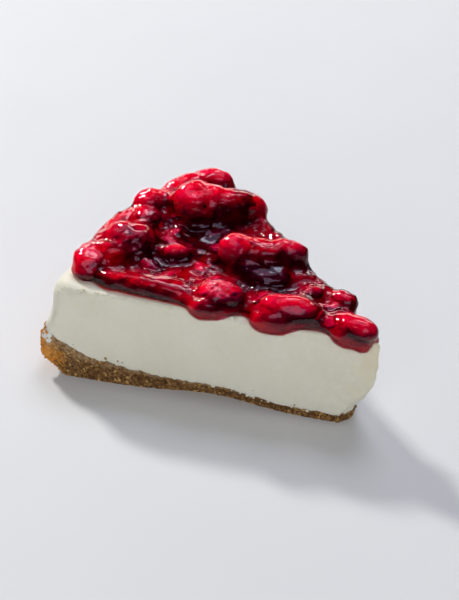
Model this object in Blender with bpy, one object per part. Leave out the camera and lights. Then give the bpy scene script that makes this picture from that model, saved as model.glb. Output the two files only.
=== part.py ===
# A slice of baked cheesecake on a biscuit crust, under cherries in a thick red glaze.
# The slice lies along X: its tip points to +X, its rim to -X, and it stands on Z = 0.
# The sizes below are in millimetres, and each mesh is turned into metres as it is made.
import math

import bmesh
import bpy
from mathutils import Euler, Matrix, Vector, noise

metre = 0.001

# The cut wedge
sliceAngle = math.radians(49.4)
tipX = 59.9
gap = 0.3
tipHeight = 33.6
topSlope = 0.031
bluntTip = 0.3
lengthSteps = 28
widthSteps = 12

# The biscuit crust: a thin floor, a thicker bed from some way in, and a wall at the rim
crustFloor = 3.3
crustBed = 3.2
crustWall = 13.0
crustFade = 13.0
crustBelly = 3.2
crustFoot = 112.0
crustTip = 9.5
crustCorner = 3.0
crustRows = 5
# Where the crust's foot has crumbled away on the near side: distance from the tip, half length and depth
crumbledFoot = (58.0, 19.0, 4.2)

# The baked cheese above it
creamRadius = 117.0
creamLean = 3.4
creamTip = 0.9
creamEdge = 5.0
cutEdge = 1.1
creamCorner = 7.5
creamRows = 6

# The glaze that holds the fruit
glazeDepth = 4.2
outlineSteps = 64

# Where the glaze ends on the near side: distance from the tip, and how far inside the cut
nearEdge = [
    (4.0, -2.6), (9.0, -2.6), (15.0, -0.2), (22.0, 1.6), (28.0, 0.2), (35.0, -1.4), (41.0, 2.2),
    (47.0, 2.4), (52.0, -0.6), (57.0, -1.4), (64.0, 0.4), (78.0, 1.2), (94.0, 1.6), (101.0, 4.6),
]
# Where it ends at the rim: angle from the middle in degrees, and distance from the tip
rimEdge = [(-20.5, 108.6), (-14.0, 110.5), (-7.0, 112.6), (0.0, 114.2), (8.0, 115.2), (16.0, 114.8), (22.0, 114.2)]
# Where it ends on the far side, from the rim back to the tip
farEdge = [(106.0, 0.8), (84.0, 0.4), (62.0, 0.7), (40.0, 0.5), (22.0, 0.9), (10.0, -1.2), (3.0, -1.6)]

# Where the glaze swells: place, half length and half width, turn about Z in degrees, and height
swells = [
    dict(at=(79.0, -31.5), half=(18.0, 3.6), turn=24.7, height=6.4),
    dict(at=(104.0, -22.0), half=(5.0, 12.0), turn=14.0, height=5.6),
    dict(at=(108.5, 25.0), half=(4.6, 15.0), turn=-14.0, height=9.6),
    dict(at=(98.0, 40.5), half=(9.0, 4.0), turn=-24.7, height=7.6),
    dict(at=(60.0, 24.0), half=(24.0, 3.4), turn=-24.7, height=6.6),
    dict(at=(27.0, 9.8), half=(9.0, 3.0), turn=-24.7, height=6.0),
]

# Each fruit: distance from the tip, place across, height of its middle over the cheese,
# half sizes, turn about Z in degrees, and how deep its crease and its stone's dent are
fruits = {
    "cherry_peak": dict(at=(92.0, 18.6), lift=9.2, half=(10.6, 8.8, 8.2), turn=39, crease=0.16, dent=0.10),
    "cherry_peak_side": dict(at=(78.8, 29.6), lift=6.6, half=(6.4, 5.6, 5.6), turn=42, crease=0.10, dent=0.12),
    "cherry_crown": dict(at=(62.4, 3.4), lift=7.6, half=(6.8, 6.4, 6.3), turn=30, crease=0.12, dent=0.08),
    "cherry_crown_side": dict(at=(48.4, 12.6), lift=8.9, half=(7.3, 4.8, 4.6), turn=30, crease=0.14, dent=0.10),
    "cherry_under": dict(at=(47.4, 1.6), lift=4.3, half=(8.2, 5.2, 3.4), turn=28, crease=0.08, dent=0.06),
    "cherry_shoulder": dict(at=(96.4, -15.4), lift=6.5, half=(8.6, 8.2, 6.1), turn=38, crease=0.14, dent=0.12),
    "cherry_end": dict(at=(101.6, -30.4), lift=4.4, half=(5.2, 6.6, 3.7), turn=20, crease=0.10, dent=0.06),
    "cherry_scrap": dict(at=(81.4, -6.8), lift=5.6, half=(4.8, 3.4, 3.0), turn=36, crease=0.06, dent=0.05),
    "cherry_open": dict(at=(53.0, -17.2), lift=4.4, half=(7.4, 5.2, 3.8), turn=26, crease=0.06, dent=0.42),
    "cherry_long": dict(at=(30.8, -7.8), lift=4.5, half=(9.4, 4.9, 3.9), turn=25, crease=0.12, dent=0.05),
    "cherry_torn": dict(at=(30.4, 3.2), lift=4.0, half=(4.6, 3.6, 3.1), turn=60, crease=0.18, dent=0.14),
    "cherry_far": dict(at=(21.4, 8.2), lift=3.7, half=(5.2, 3.4, 3.0), turn=0, crease=0.10, dent=0.08),
    "cherry_tip": dict(at=(8.8, -1.4), lift=3.9, half=(7.6, 4.6, 3.3), turn=-4, crease=0.12, dent=0.08),
    "cherry_rim": dict(at=(108.6, 8.4), lift=6.6, half=(7.8, 5.6, 5.2), turn=44, crease=0.10, dent=0.08),
    "cherry_corner": dict(at=(103.6, 38.6), lift=6.4, half=(7.4, 4.6, 4.4), turn=30, crease=0.10, dent=0.06),
}
fruitSides = 14
fruitRings = 9


# A place on the slice, u from the tip towards the rim and v across, in the slice's own axes
def spot(u, v, z):
    return Vector((tipX - u, v, z))


def cakeTop(point):
    return tipHeight + topSlope * (tipX - point.x)


def smooth(value):
    value = min(max(value, 0.0), 1.0)
    return value * value * (3 - 2 * value)


def ripple(point, size, seed):
    return noise.noise(Vector(point) / size + Vector((seed, 2.3 * seed, 7.1)))


# Half even and half crowded towards both ends, so that the edges get enough faces to be round
def crowded(value):
    return 0.5 * value + 0.25 * (1 - math.cos(math.pi * value))


# Pulls a corner in to an arc, where both distances from its two faces are under the radius
def rounded(first, second, radius):
    a, b = radius - first, radius - second
    reach = math.hypot(a, b)
    if a <= 0 or b <= 0 or reach <= radius:
        return first, second
    return radius - a * radius / reach, radius - b * radius / reach


def removeAll():
    for item in list(bpy.data.objects):
        bpy.data.objects.remove(item, do_unlink=True)


# Colours are linear, as the shader takes them
def material(name, colour, roughness):
    made = bpy.data.materials.new(name)
    made.use_nodes = True
    shader = made.node_tree.nodes["Principled BSDF"]
    shader.inputs["Base Color"].default_value = (*colour, 1.0)
    shader.inputs["Roughness"].default_value = roughness
    shader.inputs["Metallic"].default_value = 0.0
    made.diffuse_color = (*colour, 1.0)
    return made


def makeObject(name, bm, look=None, sharp=40.0):
    bmesh.ops.recalc_face_normals(bm, faces=bm.faces[:])
    mesh = bpy.data.meshes.new(name)
    bm.to_mesh(mesh)
    bm.free()
    mesh.transform(Matrix.Scale(metre, 4))
    mesh.shade_smooth()
    mesh.set_sharp_from_angle(angle=math.radians(sharp))
    made = bpy.data.objects.new(name, mesh)
    bpy.context.scene.collection.objects.link(made)
    if look:
        mesh.materials.append(look)
    return made


# A block of unit size, cut into even steps along each axis
def steppedBlock(steps):
    bm = bmesh.new()
    bmesh.ops.create_cube(bm, size=1.0, matrix=Matrix.Translation((0.5, 0.5, 0.5)))
    for axis, count in enumerate(steps):
        along = [e for e in bm.edges if abs(e.verts[0].co[axis] - e.verts[1].co[axis]) > 0.5]
        bmesh.ops.subdivide_edges(bm, edges=along, cuts=count - 1, use_grid_fill=True)
    return bm


# Moves a point of the block to its place in the wedge, given the radii and the rim corner's rounding
def wedgePoint(share, across, inner, outer, corner):
    angle = (crowded(across) - 0.5) * sliceAngle
    blunt = inner * (1 + bluntTip * (2 * angle / sliceAngle) ** 2)
    radius = blunt + (outer - blunt) * crowded(share)
    toCut = radius * math.sin(sliceAngle / 2 - abs(angle))
    cut, rim = rounded(toCut, outer - radius, corner)
    radius = outer - rim
    angle = math.copysign(sliceAngle / 2 - math.asin(min(cut / radius, 1.0)), angle)
    return radius, angle


# The way from the wedge's skin to its inside, and no way at all for points that aren't on the skin
def inward(share, across, angle):
    tilt = sliceAngle / 2
    way = Vector((0, 0, 0))
    if across < 0.001:
        way += Vector((-math.sin(tilt), math.cos(tilt), 0))
    if across > 0.999:
        way += Vector((-math.sin(tilt), -math.cos(tilt), 0))
    if share < 0.001:
        way += Vector((-1, 0, 0))
    if share > 0.999:
        way += Vector((math.cos(angle), -math.sin(angle), 0))
    return way.normalized()


def crustTop(radius, angle):
    bed = crustBed * smooth((radius - 25) / 30)
    wall = crustWall * math.exp(-(creamRadius - radius) / crustFade)
    return crustFloor + bed + wall + 0.6 * ripple((radius, 40 * angle, 0), 8.0, 3.1)


def crust(look):
    bm = steppedBlock((lengthSteps, widthSteps, crustRows))
    crumbledAt, crumbledHalf, crumbledDeep = crumbledFoot
    for vert in bm.verts:
        share, across, level = vert.co
        radius, angle = wedgePoint(share, across, crustTip, creamRadius, crustCorner)
        height = level * crustTop(radius, angle)
        belly = math.sin(math.pi * level) * crustBelly
        foot = (creamRadius - crustFoot) * (1 - smooth(level * 2.4))
        spread = radius + (belly - foot) * smooth((radius - 95) / 20)
        point = spot(spread * math.cos(angle), spread * math.sin(angle), height)
        fromCut = radius * math.sin(sliceAngle / 2 + angle)
        crumbled = crumbledDeep * math.exp(-((radius - crumbledAt) / crumbledHalf) ** 2)
        point.y += crumbled * (1 - level) * (1 - smooth(fromCut / 10))
        crag = 0.7 + 1.8 * ripple(point, 4.2, 5.0)
        vert.co = point + inward(share, across, angle) * crag * math.sin(math.pi * level)
    return makeObject("crust", bm, look)


# Rounds the cheese's upper edge, little along the cuts and fully at the rim, and gives the moved point
def easedEdge(radius, angle, height, high, outer, corner):
    tilt = sliceAngle / 2
    toCut, toRim = radius * math.sin(tilt - abs(angle)), outer - radius
    cutWay = Vector((-math.sin(tilt), math.copysign(math.cos(tilt), -angle), 0))
    rimWay = Vector((math.cos(angle), -math.sin(angle), 0))
    if toCut < corner and toRim < corner:
        fromSkin = corner - math.hypot(corner - toCut, corner - toRim)
        way = (cutWay * (corner - toCut) + rimWay * (corner - toRim)).normalized()
    else:
        fromSkin = min(toCut, toRim)
        way = cutWay if toCut < toRim else rimWay
    bend = cutEdge + (creamEdge - cutEdge) * smooth(1.25 - toRim / (2 * corner))
    moved, top = rounded(fromSkin, high - height, bend)
    return spot(radius * math.cos(angle), radius * math.sin(angle), high - top) + way * (moved - fromSkin)


def filling(look):
    bm = steppedBlock((lengthSteps, widthSteps, creamRows))
    for vert in bm.verts:
        share, across, level = vert.co
        inner = crustTip + (creamTip - crustTip) * smooth(level * 1.7)
        outer = creamRadius - creamLean * level
        corner = crustCorner + (creamCorner - crustCorner) * smooth(level * 2)
        radius, angle = wedgePoint(share, across, inner, outer, corner)
        low = crustTop(radius, angle) + gap
        high = tipHeight + topSlope * radius * math.cos(angle)
        height = low + (high - low) * crowded(level)
        point = easedEdge(radius, angle, height, high, outer, corner)
        if level < 0.001:
            point.z = low
        uneven = 0.2 + 0.5 * ripple(point, 14.0, 9.0)
        vert.co = point + inward(share, across, angle) * uneven * math.sin(math.pi * level)
    return makeObject("filling", bm, look)


# A fruit is a ball drawn out to its half sizes, with a crease along one side, a dent where the stone
# was, and a skin that the glaze has left a little uneven
def fruitBody(spec, grow, seed):
    bm = bmesh.new()
    bmesh.ops.create_uvsphere(bm, u_segments=fruitSides, v_segments=fruitRings, radius=1.0)
    bmesh.ops.rotate(bm, verts=bm.verts[:], matrix=Matrix.Rotation(math.radians(90), 3, "Y"))
    half = Vector(spec["half"])
    turn = Euler((0, 0, math.radians(spec["turn"]))).to_matrix()
    place = spot(*spec["at"], 0)
    place.z = cakeTop(place) + spec["lift"]
    for vert in bm.verts:
        way = vert.co.normalized()
        crease = spec["crease"] * math.exp(-((way.x - 0.25) / 0.24) ** 2) * smooth(way.z * 0.8 + 0.5)
        dent = spec["dent"] * math.exp(-((way - Vector((-0.25, -0.35, 0.9)).normalized()).length / 0.5) ** 2)
        reach = 1 - crease - dent + 0.07 * ripple(way, 0.7, seed)
        body = Vector(way[i] * reach * half[i] for i in range(3))
        vert.co = turn @ (body + way * grow) + place
    return bm


def fruit(name, spec, seed, look):
    return makeObject(name, fruitBody(spec, 0.0, seed), look, 180.0)


# Points on the glaze's edge, from the tip along the near side, round the rim and back
def glazeOutline():
    tilt = sliceAngle / 2
    points = [Vector((0.6, 0.2))]
    for along, inset in nearEdge:
        points.append(Vector((along * math.cos(tilt) + inset * math.sin(tilt),
                              -along * math.sin(tilt) + inset * math.cos(tilt))))
    for degrees, radius in rimEdge:
        points.append(Vector((radius * math.cos(math.radians(degrees)), radius * math.sin(math.radians(degrees)))))
    for along, inset in farEdge:
        points.append(Vector((along * math.cos(tilt) + inset * math.sin(tilt),
                              along * math.sin(tilt) - inset * math.cos(tilt))))
    return points


# A closed curve through the points, read at even steps of its length
def smoothLoop(points, count):
    fine = []
    size = len(points)
    for i in range(size):
        before, start, end, after = (points[(i + k - 1) % size] for k in range(4))
        for step in range(8):
            t = step / 8
            fine.append(0.5 * (2 * start + (end - before) * t + (2 * before - 5 * start + 4 * end - after) * t * t
                               + (3 * start - before - 3 * end + after) * t ** 3))
    lengths = [0.0]
    for i in range(len(fine)):
        lengths.append(lengths[-1] + (fine[(i + 1) % len(fine)] - fine[i]).length)
    even, at = [], 0
    for step in range(count):
        goal = lengths[-1] * step / count
        while lengths[at + 1] < goal:
            at += 1
        share = (goal - lengths[at]) / (lengths[at + 1] - lengths[at])
        even.append(fine[at].lerp(fine[(at + 1) % len(fine)], share))
    return even


# How far a place is from the middle of a patch, where 1 is the patch's edge
def patchReach(patch, u, v):
    turn = math.radians(patch["turn"])
    back, side = patch["at"][0] - u, v - patch["at"][1]
    along = back * math.cos(turn) + side * math.sin(turn)
    over = side * math.cos(turn) - back * math.sin(turn)
    return math.hypot(along / patch["half"][0], over / patch["half"][1])


# How thick the glaze lies at a place: it pools between the fruit, swells and climbs their sides
def glazeThickness(u, v):
    thick = glazeDepth + 0.8 * ripple((u, v, 0), 15.0, 4.0)
    for patch in swells:
        thick += max(patch["height"] - thick, 0) * (1 - smooth(patchReach(patch, u, v) / 1.5))
    for spec in fruits.values():
        thick += max(spec["lift"] - thick, 0) * (1 - smooth((patchReach(spec, u, v) - 0.8) / 0.7))
    return thick


# The glaze is its outline drawn up in rings towards the middle, with round lips at its edge
def glaze(look):
    bm = bmesh.new()
    edge = smoothLoop(glazeOutline(), outlineSteps)
    middle = Vector((76.0, 0.0))
    shares = [1.0, 1.0, 0.975, 0.93, 0.86, 0.77, 0.66, 0.53, 0.39, 0.24, 0.1]
    lifts = [0.0, 0.35, 0.75, 0.95, 1.0]
    ring = bmesh.ops.create_circle(bm, cap_ends=True, segments=outlineSteps, radius=1.0)["verts"]
    ring.sort(key=lambda vert: math.atan2(vert.co.y, vert.co.x) % (2 * math.pi))
    cap = bm.faces[:]
    for level, share in enumerate(shares):
        if level:
            old = cap
            grown = bmesh.ops.extrude_face_region(bm, geom=old)["geom"]
            cap = [f for f in grown if isinstance(f, bmesh.types.BMFace)]
            if level > 1:
                bmesh.ops.delete(bm, geom=old, context="FACES_ONLY")
            fresh = {v for v in grown if isinstance(v, bmesh.types.BMVert)}
            ring = [next(e.other_vert(v) for e in v.link_edges if e.other_vert(v) in fresh) for v in ring]
        for vert, place in zip(ring, edge):
            u, v = middle.lerp(place, share)
            point = spot(u, v, 0)
            rise = glazeThickness(u, v) * lifts[min(level, len(lifts) - 1)]
            point.z = cakeTop(point) + gap + rise
            vert.co = point
    bmesh.ops.poke(bm, faces=cap)
    return makeObject("glaze", bm, look)


# Sockets in the glaze, one round each fruit
def cutSockets(body):
    cutters = bpy.data.collections.new("sockets")
    bpy.context.scene.collection.children.link(cutters)
    for seed, (name, spec) in enumerate(fruits.items()):
        cutter = makeObject("socket_" + name, fruitBody(spec, gap, seed + 1.0))
        bpy.context.scene.collection.objects.unlink(cutter)
        cutters.objects.link(cutter)
        cutter.hide_render = True
        cutter.display_type = "WIRE"
    cut = body.modifiers.new("sockets", "BOOLEAN")
    cut.operation = "DIFFERENCE"
    cut.operand_type = "COLLECTION"
    cut.collection = cutters
    cut.solver = "EXACT"


def build():
    removeAll()
    crust(material("biscuit", (0.270, 0.135, 0.055), 0.85))
    filling(material("baked_cheese", (0.800, 0.770, 0.660), 0.45))
    sauce = glaze(material("red_glaze", (0.240, 0.006, 0.018), 0.08))
    cutSockets(sauce)
    skin = material("cherry_skin", (0.280, 0.010, 0.022), 0.18)
    for seed, (name, spec) in enumerate(fruits.items()):
        fruit(name, spec, seed + 1.0, skin)


build()
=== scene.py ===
import math
import random
import time

import bmesh
import bpy
from mathutils import Euler, Matrix, Vector, noise
from mathutils.bvhtree import BVHTree


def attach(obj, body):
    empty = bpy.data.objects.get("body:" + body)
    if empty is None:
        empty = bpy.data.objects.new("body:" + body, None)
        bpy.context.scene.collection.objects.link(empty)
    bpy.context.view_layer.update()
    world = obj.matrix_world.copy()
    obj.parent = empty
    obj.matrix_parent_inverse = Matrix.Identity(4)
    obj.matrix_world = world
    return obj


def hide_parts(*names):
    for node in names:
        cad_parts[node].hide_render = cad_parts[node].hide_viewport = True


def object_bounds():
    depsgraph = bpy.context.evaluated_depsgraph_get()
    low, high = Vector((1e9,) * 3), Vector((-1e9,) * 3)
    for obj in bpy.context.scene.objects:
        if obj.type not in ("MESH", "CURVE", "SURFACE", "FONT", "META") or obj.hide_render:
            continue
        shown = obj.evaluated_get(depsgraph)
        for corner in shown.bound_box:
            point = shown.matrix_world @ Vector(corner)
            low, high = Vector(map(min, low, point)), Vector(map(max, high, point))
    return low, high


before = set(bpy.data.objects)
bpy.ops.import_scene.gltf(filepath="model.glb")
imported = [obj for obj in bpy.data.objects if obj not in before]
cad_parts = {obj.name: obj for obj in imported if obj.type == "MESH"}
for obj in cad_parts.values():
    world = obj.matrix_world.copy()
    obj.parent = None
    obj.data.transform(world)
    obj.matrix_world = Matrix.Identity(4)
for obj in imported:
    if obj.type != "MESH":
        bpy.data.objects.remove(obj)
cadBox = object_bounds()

metre = 0.001
body = "root"
began = time.perf_counter()
boxLow, boxHigh = (Vector(corner) / metre for corner in cadBox)

# The cut wedge, as the solids have it
cake = dict(angle=math.radians(49.4), tipX=59.9, overlap=0.25, tipHeight=33.6, topSlope=0.031, blunt=0.3)
# How far each cut is turned from the middle line
cutTilt = cake["angle"] / 2


# A place on the slice, u from the tip towards the rim and v across, in the slice's own axes
def spot(u, v, z):
    return Vector((cake["tipX"] - u, v, z))


def cakeTop(point):
    return cake["tipHeight"] + cake["topSlope"] * (cake["tipX"] - point.x)


def smooth(value):
    value = min(max(value, 0.0), 1.0)
    return value * value * (3 - 2 * value)


def ripple(point, size, seed):
    return noise.noise(Vector(point) / size + Vector((seed, 2.3 * seed, 7.1)))


# A share from 0 to 1 that lies closer together towards both ends
def crowded(value):
    return 0.5 * value + 0.25 * (1 - math.cos(math.pi * value))


# Pulls a corner in to an arc, where both distances from its two faces are under the radius
def rounded(first, second, radius):
    a, b = radius - first, radius - second
    reach = math.hypot(a, b)
    if a <= 0 or b <= 0 or reach <= radius:
        return first, second
    return radius - a * radius / reach, radius - b * radius / reach


# A turn about all three axes
def anyTurn(draw):
    return Euler([draw.uniform(0, 6.3) for _ in range(3)]).to_matrix().to_4x4()


# A size between two limits, more often near the lower one
def mostlySmall(draw, limits, power):
    return limits[0] + (limits[1] - limits[0]) * draw.random() ** power


# How far a point is inside the near cut, and inside the far cut
def insideCuts(point):
    u, v = cake["tipX"] - point.x, point.y
    return u * math.sin(cutTilt) + v * math.cos(cutTilt), u * math.sin(cutTilt) - v * math.cos(cutTilt)


# A point on the near cut, a distance along it from the tip, in from the cut and up
def nearCut(along, inset, z):
    u = along * math.cos(cutTilt) + inset * math.sin(cutTilt)
    v = inset * math.cos(cutTilt) - along * math.sin(cutTilt)
    return spot(u, v, z)


# A block of unit size, cut into even steps along each axis, whose corners stand for shares of the slice:
# from the tip to the rim, from the near cut to the far cut, and from the bottom to the top
def steppedBlock(steps):
    bm = bmesh.new()
    bmesh.ops.create_cube(bm, size=1.0, matrix=Matrix.Translation((0.5, 0.5, 0.5)))
    for axis, count in enumerate(steps):
        along = [e for e in bm.edges if abs(e.verts[0].co[axis] - e.verts[1].co[axis]) > 0.5]
        bmesh.ops.subdivide_edges(bm, edges=along, cuts=count - 1, use_grid_fill=True)
    return bm


# Where a share of the way to the rim and across lies on a wedge with a blunt tip and rounded rim corners
def wedgePoint(share, across, inner, outer, corner):
    angle = (crowded(across) - 0.5) * cake["angle"]
    blunt = inner * (1 + cake["blunt"] * (2 * angle / cake["angle"]) ** 2)
    radius = blunt + (outer - blunt) * crowded(share)
    toCut = radius * math.sin(cutTilt - abs(angle))
    cut, rim = rounded(toCut, outer - radius, corner)
    radius = outer - rim
    angle = math.copysign(cutTilt - math.asin(min(cut / radius, 1.0)), angle)
    return radius, angle


# The way from the wedge's skin to its inside, and no way at all for points that aren't on the skin
def inward(share, across, angle):
    skin = 0.001
    way = Vector((0, 0, 0))
    if across < skin:
        way += Vector((-math.sin(cutTilt), math.cos(cutTilt), 0))
    if across > 1 - skin:
        way += Vector((-math.sin(cutTilt), -math.cos(cutTilt), 0))
    if share < skin:
        way += Vector((-1, 0, 0))
    if share > 1 - skin:
        way += Vector((math.cos(angle), -math.sin(angle), 0))
    return way.normalized()


# Turns a bmesh into a finished piece that rides on the slice and stands for the nodes named,
# and keeps its relief inside the box that the solids fill
def finishPiece(name, bm, look, nodes=(), sharp=180.0):
    for vert in bm.verts:
        vert.co = [min(max(vert.co[i], boxLow[i]), boxHigh[i]) for i in range(3)]
    mesh = bpy.data.meshes.new(name)
    bm.to_mesh(mesh)
    bm.free()
    mesh.transform(Matrix.Scale(metre, 4))
    mesh.shade_smooth()
    if sharp < 180:
        mesh.set_sharp_from_angle(angle=math.radians(sharp))
    mesh.materials.append(look)
    made = bpy.data.objects.new(name, mesh)
    bpy.context.scene.collection.objects.link(made)
    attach(made, body)
    if nodes:
        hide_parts(*nodes)
    print(name, len(mesh.polygons), "faces,", round(time.perf_counter() - began, 1), "s")
    return made


# A shader socket on which + - and * put in Math nodes
class Wire:
    def __init__(self, look, socket):
        self.look = look
        self.socket = socket

    def maths(self, operation, first, second=0.0):
        return self.look.node("ShaderNodeMath", {"operation": operation}, {0: first, 1: second})

    def __add__(self, other):
        return self.maths("ADD", self, other)

    def __radd__(self, other):
        return self.maths("ADD", other, self)

    def __sub__(self, other):
        return self.maths("SUBTRACT", self, other)

    def __rsub__(self, other):
        return self.maths("SUBTRACT", other, self)

    def __mul__(self, other):
        return self.maths("MULTIPLY", self, other)

    def __rmul__(self, other):
        return self.maths("MULTIPLY", other, self)

    def clamped(self):
        return self.look.node("ShaderNodeClamp", None, {0: self})


# A material built round one Principled shader, whose constant values are set on its own sockets
class Look:
    def __init__(self, name, values):
        self.material = bpy.data.materials.new(name)
        self.material.use_nodes = True
        self.tree = self.material.node_tree
        self.shader = self.tree.nodes["Principled BSDF"]
        self.place = self.node("ShaderNodeTexCoord", output="Object")
        for socket, value in values.items():
            self.shader.inputs[socket].default_value = value

    def node(self, kind, settings=None, inputs=None, output=0):
        made = self.tree.nodes.new(kind)
        for name, value in (settings or {}).items():
            if name == "stops":
                ramp = made.color_ramp
                while len(ramp.elements) < len(value):
                    ramp.elements.new(1.0)
                for element, (at, colour) in zip(ramp.elements, value):
                    element.position = at
                    element.color = (*colour, 1.0)
            else:
                setattr(made, name, value)
        for name, value in (inputs or {}).items():
            self.join(made.inputs[name], value)
        return Wire(self, made.outputs[output])

    def join(self, socket, value):
        if isinstance(value, Wire):
            self.tree.links.new(value.socket, socket)
        elif isinstance(value, tuple) and len(value) == 3 and len(socket.default_value) == 4:
            socket.default_value = (*value, 1.0)
        else:
            socket.default_value = value

    # Noise between 0 and 1 whose lumps are about this many millimetres, stretched along an axis if asked
    def grain(self, size, detail=3.0, stretch=(1, 1, 1), distortion=0.0):
        at = self.node("ShaderNodeMapping", None, {"Vector": self.place, "Scale": stretch})
        return self.node("ShaderNodeTexNoise", None, {
            "Vector": at, "Scale": 1 / (size * metre), "Detail": detail, "Distortion": distortion})

    # Round cells of about this many millimetres, read by the distance to the middle or by a chance colour
    def cells(self, size, output="Distance"):
        feeds = {"Vector": self.place, "Scale": 1 / (size * metre)}
        return self.node("ShaderNodeTexVoronoi", None, feeds, output)

    def ramp(self, value, stops):
        return self.node("ShaderNodeValToRGB", {"stops": stops}, {0: value})

    def mask(self, value, low, high):
        return self.node("ShaderNodeMapRange", {"clamp": True}, {0: value, 1: low, 2: high})

    def mix(self, factor, first, second):
        return self.node("ShaderNodeMix", {"data_type": "RGBA"}, {0: factor, 6: first, 7: second}, 2)

    def attribute(self, name):
        return self.node("ShaderNodeAttribute", {"attribute_name": name}, None, "Fac")

    def bump(self, height, depth, strength=1.0):
        return self.node("ShaderNodeBump", None, {
            "Height": height, "Distance": depth * metre, "Strength": strength})

    def feed(self, **sockets):
        for name, value in sockets.items():
            self.join(self.shader.inputs[name.replace("_", " ")], value)
        return self.material


print("camera and light")
view = dict(eye=(0.2195, -0.2749, 0.2517), target=(-0.0273, 0.0298, 0.0), roll=1.07, lens=72.0)
# Angles in degrees, distances in metres and powers in watts. The sun draws the shadows and the small
# highlights, the glow lights what lies under the clear glaze, the window and the front soften the shade,
# and the sheen, the edge, the sky and the room are only seen in the glaze.
lights = dict(
    sun=dict(azimuth=163, elevation=37, distance=2.6, size=(0.28, 0.28), power=43.0,
             colour=(1.0, 0.98, 0.95), hidden=("transmission",)),
    glow=dict(azimuth=160, elevation=42, distance=1.1, size=(0.50, 0.50), power=16.0,
              colour=(1.0, 0.98, 0.95), hidden=("diffuse", "glossy")),
    window=dict(azimuth=112, elevation=64, distance=1.3, size=(0.62, 0.40), power=5.0,
                colour=(0.84, 0.88, 1.0), hidden=("glossy",)),
    sheen=dict(azimuth=122, elevation=50, distance=1.3, size=(0.46, 0.24), power=1.9,
               colour=(0.80, 0.80, 1.0), hidden=("diffuse", "transmission")),
    edge=dict(azimuth=131, elevation=15, distance=1.6, size=(1.9, 0.34), power=6.0,
              colour=(1.0, 0.98, 1.0), hidden=("diffuse", "transmission")),
    sky=dict(azimuth=126, elevation=62, distance=1.5, size=(1.1, 0.8), power=3.6,
             colour=(0.74, 0.64, 1.0), hidden=("diffuse", "transmission")),
    room=dict(azimuth=-58, elevation=60, distance=1.8, size=(1.1, 0.7), power=4.6,
              colour=(0.80, 0.70, 1.0), hidden=("diffuse", "transmission")),
    front=dict(azimuth=-54, elevation=30, distance=1.4, size=(1.4, 0.8), power=6.5,
               colour=(1.0, 0.99, 0.98), hidden=("glossy",)),
)
surround = dict(colour=(0.90, 0.93, 1.0), strength=0.26)
ground = dict(size=6.0, colour=(0.70, 0.705, 0.71), paler=1.02, clouds=90.0, roughness=0.6)


def makeCamera():
    data = bpy.data.cameras.new("camera")
    data.sensor_width = 36.0
    data.lens = view["lens"]
    camera = bpy.data.objects.new("camera", data)
    bpy.context.scene.collection.objects.link(camera)
    eye = Vector(view["eye"])
    turn = (Vector(view["target"]) - eye).to_track_quat("-Z", "Y").to_matrix().to_4x4()
    camera.matrix_world = Matrix.Translation(eye) @ turn @ Matrix.Rotation(math.radians(view["roll"]), 4, "Z")
    bpy.context.scene.camera = camera


def makeLight(name, spec):
    data = bpy.data.lights.new(name, "AREA")
    data.shape = "RECTANGLE"
    data.size, data.size_y = spec["size"]
    data.energy = spec["power"]
    data.color = spec["colour"]
    lamp = bpy.data.objects.new(name, data)
    bpy.context.scene.collection.objects.link(lamp)
    azimuth, elevation = math.radians(spec["azimuth"]), math.radians(spec["elevation"])
    flat = math.cos(elevation)
    way = Vector((math.cos(azimuth) * flat, math.sin(azimuth) * flat, math.sin(elevation)))
    turn = way.to_track_quat("Z", "Y").to_matrix().to_4x4()
    lamp.matrix_world = Matrix.Translation(way * spec["distance"]) @ turn
    for rays in spec["hidden"]:
        setattr(lamp, "visible_" + rays, False)


# An even light from all round that the glaze doesn't mirror
def makeSurround():
    world = bpy.data.worlds.new("surround")
    world.use_nodes = True
    background = world.node_tree.nodes["Background"]
    background.inputs["Color"].default_value = (*surround["colour"], 1.0)
    background.inputs["Strength"].default_value = surround["strength"]
    bpy.context.scene.world = world
    world.cycles_visibility.glossy = False
    bpy.context.scene.view_settings.view_transform = "Standard"


def makeFloor():
    bm = bmesh.new()
    bmesh.ops.create_grid(bm, x_segments=8, y_segments=8, size=ground["size"] / 2)
    mesh = bpy.data.meshes.new("floor")
    bm.to_mesh(mesh)
    bm.free()
    floor = bpy.data.objects.new("floor", mesh)
    bpy.context.scene.collection.objects.link(floor)
    look = Look("palePaint", {"Roughness": ground["roughness"]})
    paler = tuple(part * ground["paler"] for part in ground["colour"])
    tint = look.ramp(look.grain(ground["clouds"]), [(0.3, ground["colour"]), (0.7, paler)])
    mesh.materials.append(look.feed(Base_Color=tint))


makeCamera()
for name, spec in lights.items():
    makeLight(name, spec)
makeSurround()
makeFloor()


print("biscuit crust")
crust = dict(
    steps=(230, 56, 26), tip=9.5, radius=117.0, corner=3.0, floor=3.3,
    bed=3.2, bedFrom=25.0, bedOver=30.0, wall=13.0, fade=13.0, ragged=0.6, nibbled=0.45,
    belly=3.2, bellyFrom=95.0, bellyOver=20.0, foot=112.0, footShare=2.4,
    crumbledAt=58.0, crumbledHalf=19.0, crumbledDeep=4.2, crumbledIn=10.0,
    hollow=0.7, crag=1.5, cragSize=4.2, lump=0.9, lumpSize=2.1, grit=0.5, gritSize=1.0, proud=0.1,
    soakedFrom=0.62, soakedOver=0.25, bakedFrom=98.0, bakedOver=6.0, bakedUpTo=0.45, bakedFade=0.6,
    smearAlong=116.0, smearLevel=0.84, smearHalf=(2.6, 2.6, 3.4), smearFull=0.4, smearFade=0.9,
)


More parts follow.
